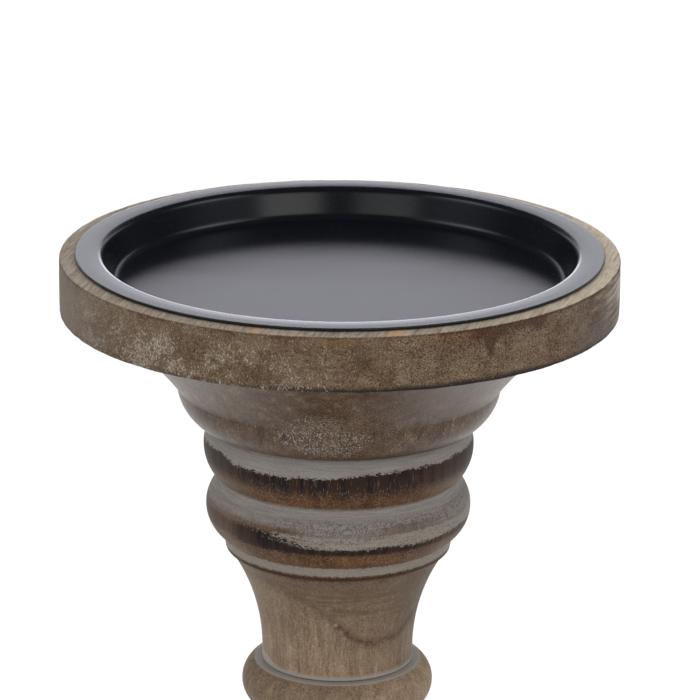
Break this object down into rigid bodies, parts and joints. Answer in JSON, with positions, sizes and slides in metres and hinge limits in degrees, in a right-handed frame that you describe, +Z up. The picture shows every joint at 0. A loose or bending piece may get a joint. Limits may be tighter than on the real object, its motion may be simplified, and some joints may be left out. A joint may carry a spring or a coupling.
{
  "type": "pillar candle holder",
  "caption": "Tall turned wooden pillar candle holder with a loose black steel dish in its round top plate, beaded stem and flared foot.",
  "frame": {"origin": "centre of the footprint, on the surface that the felt pads stand on", "axes": "+Z up along the stem's axis, +Y away from the picture's camera, +X to its right"},
  "size_m": [0.13, 0.13, 0.3],
  "materials": {
    "black_steel": "satin black powder coat",
    "plate_wood": "brown stained, with whitewash in the pores and a raw sanded top ledge",
    "flare_wood": "brown stained, with whitewash in the pores",
    "stem_wood": "stained and scorched, with worn grey paint in the grooves",
    "zinc_steel": "zinc plated",
    "felt": "pressed felt"
  },
  "bodies": {
    "holder": {"top_plate": "plate_wood", "flare_collar": "flare_wood", "upper_stem": "stem_wood", "lower_stem": "stem_wood", "base_collar": "flare_wood", "base_plate": "plate_wood", "tie_rod": "zinc_steel", "top_nut": "zinc_steel", "top_washer": "zinc_steel", "bottom_nut": "zinc_steel", "bottom_washer": "zinc_steel", "plate_screw_1": "zinc_steel", "plate_screw_2": "zinc_steel", "plate_screw_3": "zinc_steel", "felt_pad_1": "felt", "felt_pad_2": "felt", "felt_pad_3": "felt", "felt_pad_4": "felt"},
    "dish": {"candle_dish": "black_steel"}
  },
  "joints": [
    {"name": "dish_lift", "type": "slide", "parent": "holder", "child": "dish", "axis": [0, 0, 1], "range_m": [0, 0.04]}
  ]
}
